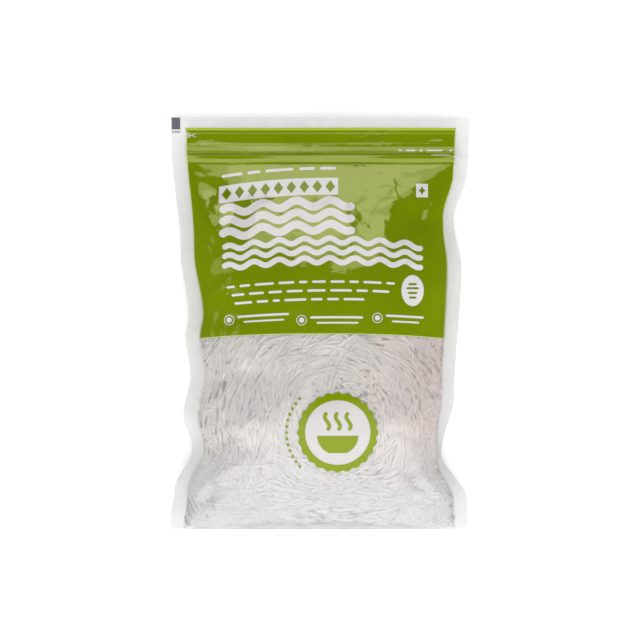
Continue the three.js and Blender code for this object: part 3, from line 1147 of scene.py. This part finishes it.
NEST_ACROSS = 0.12  # share across of the middle that the noodles turn round
NEST_Y = -71.0
NEST_UP = 96.0
NEST_DOWN = 65.4
NEST_RADIUS = 80.0
STRAND_STEPS = 18
STRAND_SIDES = 5
ALONG = np.linspace(-0.5, 0.5, STRAND_STEPS)  # shares of a strand's length
FLATNESS = 0.36
BROAD_SHARE, BROADER = 0.16, 1.75  # share of the noodles that are broader, and by how much
LAYER_DEPTH = 1.0
CORE_COVER = 0.85
PANEL_CLEARANCE = 1.0
SLOPE_STEP = 0.4  # between the two heights that a slope is taken from, and the middle
STEEPEST = 2.2
SWIRL_LENGTHS = (35, 90)
MARGIN_Y = (-132, -6)
MARGIN_ACROSS = (0.88, 0.99)
MARGIN_LENGTHS = (7, 15)
CORNER_Y = (-136, -104)
CORNER_X = (30, 97)
CORNER_LENGTHS = (16, 42)
BACK_SHARE = 0.6  # noodles at the back for each one at the front


def disc_to_square(a, b):
    """The unit disc spread to the unit square, so that circles become rounded squares."""
    root = 2 * math.sqrt(2)
    sums = a * a - b * b
    u = np.sqrt(np.maximum(2 + sums + root * a, 0)) - np.sqrt(np.maximum(2 + sums - root * a, 0))
    v = np.sqrt(np.maximum(2 - sums + root * b, 0)) - np.sqrt(np.maximum(2 - sums - root * b, 0))
    return u / 2, v / 2


def nest_place(radius, turn):
    """Share across and Y of a polar position in the nest, which fills the window."""
    u, v = disc_to_square(radius * np.cos(turn), radius * np.sin(turn))
    across = 0.94 * u + NEST_ACROSS * (1 - u * u) * (1 - v * v)
    y = NEST_Y + np.where(v > 0, NEST_UP, NEST_DOWN) * v
    return np.clip(across, -0.988, 0.988), y


def panel_clearance(y):
    """Extra depth under the printed panel, where a noodle mustn't show through a dent."""
    return PANEL_CLEARANCE * np.clip((y - PANEL_EDGE_MIDDLE) / 4, 0, 1)


def under_film(across, y, depth, face):
    """Points at a depth under the front film (face 1) or over the back film (face -1),
    measured along the film's normal, and that normal."""
    x = x_at(across, y)

    def height(px, py):
        share = across_at(px, py)
        if face > 0:
            return front_height(share, px, py, fine=False)
        return back_height(share, px, py)

    slope_x = height(x + SLOPE_STEP, y) - height(x - SLOPE_STEP, y)
    slope_y = height(x, y + SLOPE_STEP) - height(x, y - SLOPE_STEP)
    slopes = (np.clip(slope / (2 * SLOPE_STEP), -STEEPEST, STEEPEST) for slope in (slope_x, slope_y))
    normal = np.stack([*(-slope for slope in slopes), np.ones(x.shape)], axis=-1) * face
    normal /= np.linalg.norm(normal, axis=-1, keepdims=True)
    front = front_height(across, x, y)
    room = front - back_height(across, x, y)
    depth = np.minimum(depth + panel_clearance(y), 0.45 * room)
    z = height(x, y)
    if face > 0:
        z = np.minimum(z, front)
    surface = np.stack([x, y, z], axis=-1)
    return surface - normal * depth[..., None], normal


def tubes(paths, normals, widths):
    """Closed flattened tubes along many paths at once: an oval ring of points round each
    step, and a flat cap at each end. paths and normals are strands by steps by 3."""
    strands, count = paths.shape[:2]
    tangent = np.gradient(paths, axis=1)
    tangent /= np.maximum(np.linalg.norm(tangent, axis=2, keepdims=True), 1e-9)
    sideways = np.cross(tangent, normals)
    sideways /= np.maximum(np.linalg.norm(sideways, axis=2, keepdims=True), 1e-9)
    upward = np.cross(sideways, tangent)
    angle = np.linspace(0, 2 * np.pi, STRAND_SIDES, endpoint=False) + np.pi / 2
    ring_points = (
        np.cos(angle)[None, None, :, None] * sideways[:, :, None]
        + np.sin(angle)[None, None, :, None] * FLATNESS * upward[:, :, None]
    )
    points = paths[:, :, None] + ring_points * widths[:, :, None, None]
    corner = np.arange(strands * count * STRAND_SIDES).reshape(strands, count, STRAND_SIDES)
    caps = np.concatenate([corner[:, 0], corner[:, -1, ::-1]])
    return points.reshape(-1, 3), ring_faces(corner).tolist() + caps.tolist()


def swirl_paths(draw, bundles, strands, pitch):
    """Shares across and Ys of bundles of noodles that turn round the nest's middle. Both the
    radius and the heading of a bundle drift, and its noodles part a little at the ends."""
    along = ALONG[None, None, :]
    each = (bundles, 1, 1)
    radius = np.sqrt(draw.uniform(0.004, 1.0, each))
    turn = draw.uniform(0, 2 * np.pi, each)
    length = draw.uniform(*SWIRL_LENGTHS, each)
    drift = draw.normal(0, 0.3, each)
    sway = draw.uniform(0.005, 0.03, each)
    phase = draw.uniform(0, 2 * np.pi, each)
    own = draw.normal(0, 1, (4, bundles, strands, 1))
    place = (np.arange(strands) - (strands - 1) / 2)[None, :, None]
    turned = along * (1 + 0.15 * own[0]) * length / (NEST_RADIUS * np.maximum(radius, 0.2))
    angle = turn + turned + 0.05 * own[1]
    rho = radius + (drift + 0.05 * own[3]) * along + sway * np.sin(5 * along + phase)
    rho = rho + place * pitch / NEST_RADIUS * (1 + 0.6 * np.abs(along)) + 0.008 * own[2]
    rho = 0.997 - np.abs(0.997 - np.abs(rho))
    across, y = nest_place(rho, angle)
    return across.reshape(-1, STRAND_STEPS), y.reshape(-1, STRAND_STEPS)


def stray_paths(draw, middle_x, middle_y, heading, length):
    """Shares across and Ys of single noodles: gentle arcs about a middle point and heading."""
    bend = draw.normal(0, 0.5, middle_x.shape)[:, None]
    turned = heading[:, None] + bend * ALONG[None, :]
    step = length[:, None] / STRAND_STEPS
    x = middle_x[:, None] + np.cumsum(np.cos(turned) * step, axis=1)
    y = middle_y[:, None] + np.cumsum(np.sin(turned) * step, axis=1)
    x = x - 0.5 * length[:, None] * np.cos(heading[:, None])
    y = y - 0.5 * length[:, None] * np.sin(heading[:, None])
    y = np.clip(y, -HALF_LENGTH + 1.0, 4)
    return np.clip(across_at(x, y), -0.996, 0.996), y


def noodle_mesh(name, across, y, draw, diameter, face):
    """Noodles laid under a film: each has its own depth, width and weave."""
    each = (len(across), 1)
    own = draw.normal(0, 1, (3, *each))
    layer = draw.uniform(0, 1, each) ** 1.3 * LAYER_DEPTH
    weave = 0.3 * np.sin(6 * ALONG[None, :] + 2 * own[0])
    broad = np.where(draw.uniform(0, 1, each) < BROAD_SHARE, BROADER, 1.0)
    uneven = np.clip(1 + 0.16 * own[1] + 0.08 * np.sin(9 * ALONG + own[2]), 0.6, 1.5)
    half = diameter / 2 * broad * uneven
    depth = 0.3 + FLATNESS * half + np.maximum(layer + weave, 0)
    paths, normals = under_film(across, y, depth, face)
    ends = np.minimum(1, (0.5 - np.abs(ALONG)) * 18 + 0.3)
    return make_object(name, *tubes(paths, normals, half * ends))


def margin_paths(draw, count):
    """Short noodles that lie across the narrow space between the nest and a side seal."""
    side = np.where(draw.uniform(0, 1, count) < 0.5, -1, 1)
    y = draw.uniform(*MARGIN_Y, count)
    x = x_at(side * draw.uniform(*MARGIN_ACROSS, count), y)
    heading = draw.normal(0, 0.7, count)
    return stray_paths(draw, x, y, heading, draw.uniform(*MARGIN_LENGTHS, count))


def corner_paths(draw, count):
    """Loose noodles of every heading in the two bottom corners and along the fold."""
    side = np.where(draw.uniform(0, 1, count) < 0.5, -1, 1)
    y = draw.uniform(*CORNER_Y, count)
    x = side * draw.uniform(*CORNER_X, count)
    heading = draw.uniform(-np.pi / 2, np.pi / 2, count)
    return stray_paths(draw, x, y, heading, draw.uniform(*CORNER_LENGTHS, count))


class POUCH_OT_noodles(bpy.types.Operator):
    """Fine rice noodles pressed in a nest under the window, front and back"""

    bl_idname = "pouch.noodles"
    bl_label = "Noodles"

    def execute(self, context):
        nests = context.scene.pouch_nests
        draw = np.random.default_rng(nests.seed)
        diameter = context.scene.pouch_sizes.strand / MM
        material = noodle_material("steamed rice noodle", context.scene.pouch_colours)
        for name, face, share in (("noodles_front", 1, 1.0), ("noodles_back", -1, BACK_SHARE)):
            kinds = [
                swirl_paths(draw, int(share * nests.bundles), nests.strands, diameter * 0.97),
                margin_paths(draw, int(share * nests.margin)),
                corner_paths(draw, int(share * nests.corner)),
            ]
            across, y = (np.concatenate(part) for part in zip(*kinds))
            piece = noodle_mesh(name, across, y, draw, diameter, face)
            finish_piece(piece, material, "rice_noodles")
        return {"FINISHED"}


class POUCH_OT_noodle_core(bpy.types.Operator):
    """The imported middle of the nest: one mass that shows between the noodles"""

    bl_idname = "pouch.noodle_core"
    bl_label = "Noodle core"

    def execute(self, context):
        across = (0.975 * across_steps(150))[None, :]
        y = column(-HALF_LENGTH + 2.0, FILL_TOP - 14, 170)
        x = x_at(across, y)
        floor, roof = back_height(across, x, y), front_height(across, x, y, fine=False)
        cover = np.minimum(CORE_COVER + panel_clearance(y), 0.3 * (roof - floor))
        upper = grid_points(x, y, np.minimum(roof, front_height(across, x, y)) - cover)
        lower = grid_points(x, y, floor + cover * 0.8)
        points, faces = closed_sheet(upper, lower)
        piece = make_object("noodle_core", points, faces.tolist())
        colours = context.scene.pouch_colours
        # painted shade: the core's noodle colours are darkened to 0.95, a shaded copy of the noodle
        # material
        material = noodle_material("packed rice noodle", colours, 0.95, packed=True)
        finish_piece(piece, material, "rice_noodles")
        return {"FINISHED"}


# Stage -----------------------------------------------------------------------------------

IMAGE_SIZE = 640
MM_PER_PIXEL = 2 / 3
CAMERA_DISTANCE = 1500.0
FOCUS_HEIGHT = 12.0
CAMERA_X, CAMERA_Y = -0.33, 2.0
SENSOR = 36.0
FLOOR_FLAT = 2.2
FLOOR_REACH = 6.0
FLOOR_RISE = 2.4
WORLD_LIGHT = 0.04

# name, degrees from straight up to the right and to the head, distance, half of the width
# and height in degrees, radiance
SOFTBOXES = [
    ("key_softbox", (-5.0, 52.0), 2.6, (18.0, 21.0), 2.1),
    ("key_core", (-2.0, 62.0), 2.6, (15.0, 13.0), 1.2),
    ("foot_softbox", (5.0, -43.0), 2.0, (42.0, 38.0), 1.1),
    ("foot_core", (5.0, -45.0), 2.0, (35.0, 33.0), 1.25),
    ("left_strip", (-52.0, 11.0), 2.2, (15.0, 5.0), 1.0),
    ("left_fill", (-68.0, 0.0), 2.6, (26.0, 32.0), 1.3),
    ("right_fill", (66.0, -22.0), 2.6, (26.0, 28.0), 1.4),
]


class POUCH_OT_stage(bpy.types.Operator):
    """Pale floor that curves up far away, soft lights and the camera over the pouch"""

    bl_idname = "pouch.stage"
    bl_label = "Stage"

    def execute(self, context):
        scene = context.scene
        turn = row(0, 2 * np.pi, 65)
        reach = column(0.001, 1, 60) * FLOOR_REACH
        climb = np.clip((reach - FLOOR_FLAT) / (FLOOR_REACH - FLOOR_FLAT), 0, 1)
        points = grid_points(reach * np.cos(turn), reach * np.sin(turn), FLOOR_RISE * climb**2) / MM
        points = points[:, :-1]
        corner = np.arange(points[..., 0].size).reshape(points.shape[:2])
        faces = ring_faces(corner).tolist() + [corner[0].tolist()]
        floor = make_object("studio_floor", points.reshape(-1, 3), faces)
        floor.data.materials.append(floor_material(scene.pouch_colours))
        floor.visible_glossy = False  # the steep sides of the film mirror dark card, not board

        for name, lean, distance, half_size, radiance in SOFTBOXES:
            lamp = bpy.data.lights.new(name, "AREA")
            lamp.shape = "ELLIPSE"
            lamp.size, lamp.size_y = (2 * distance * math.tan(math.radians(h)) for h in half_size)
            lamp.energy = radiance * math.pi * math.pi / 4 * lamp.size * lamp.size_y
            holder = bpy.data.objects.new(name, lamp)
            scene.collection.objects.link(holder)
            holder.visible_glossy = not name.endswith("fill")  # fills don't show in the gloss
            across, along = (math.tan(math.radians(angle)) for angle in lean)
            towards = Vector((across, along, 1)).normalized()
            holder.location = towards * distance
            holder.rotation_euler = towards.to_track_quat("Z", "Y").to_euler()

        world = bpy.data.worlds.new("dim studio")
        scene.world = world
        world.use_nodes = True
        background = world.node_tree.nodes["Background"]
        background.inputs["Color"].default_value = (1, 1, 1, 1)
        background.inputs["Strength"].default_value = WORLD_LIGHT

        lens = bpy.data.cameras.new("camera")
        lens.sensor_width = SENSOR
        lens.lens = SENSOR * CAMERA_DISTANCE / (IMAGE_SIZE * MM_PER_PIXEL)
        camera = bpy.data.objects.new("camera", lens)
        scene.collection.objects.link(camera)
        camera.location = (CAMERA_X * MM, CAMERA_Y * MM, (CAMERA_DISTANCE + FOCUS_HEIGHT) * MM)
        scene.camera = camera
        scene.view_settings.view_transform = "Standard"
        return {"FINISHED"}


class POUCH_PT_panel(bpy.types.Panel):
    """Lists the pouch's operators and settings"""

    bl_label = "Pouch"
    bl_idname = "POUCH_PT_panel"
    bl_space_type = "VIEW_3D"
    bl_region_type = "UI"
    bl_category = "Pouch"

    def draw(self, context):
        scene = context.scene
        for group in (scene.pouch_sizes, scene.pouch_colours, scene.pouch_nests):
            for name in group.__annotations__:
                self.layout.prop(group, name)
        for operator in OPERATORS:
            self.layout.operator(operator.bl_idname)


OPERATORS = (
    POUCH_OT_stage,
    POUCH_OT_printed_film,
    POUCH_OT_window_film,
    POUCH_OT_heat_seals,
    POUCH_OT_white_print,
    POUCH_OT_green_print,
    POUCH_OT_panel_edge,
    POUCH_OT_medallion,
    POUCH_OT_register_block,
    POUCH_OT_noodles,
    POUCH_OT_noodle_core,
)
SETTINGS = (PouchSizes, PouchColours, NestSettings)


def register():
    for made in SETTINGS + OPERATORS + (POUCH_PT_panel,):
        bpy.utils.register_class(made)
    bpy.types.Scene.pouch_sizes = PointerProperty(type=PouchSizes)
    bpy.types.Scene.pouch_colours = PointerProperty(type=PouchColours)
    bpy.types.Scene.pouch_nests = PointerProperty(type=NestSettings)


def unregister():
    del bpy.types.Scene.pouch_nests
    del bpy.types.Scene.pouch_colours
    del bpy.types.Scene.pouch_sizes
    for made in reversed(SETTINGS + OPERATORS + (POUCH_PT_panel,)):
        bpy.utils.unregister_class(made)


def main():
    """Makes the pouch by its operators."""
    register()
    for operator in OPERATORS:
        module, name = operator.bl_idname.split(".")
        getattr(getattr(bpy.ops, module), name)()


if __name__ == "__main__":
    main()
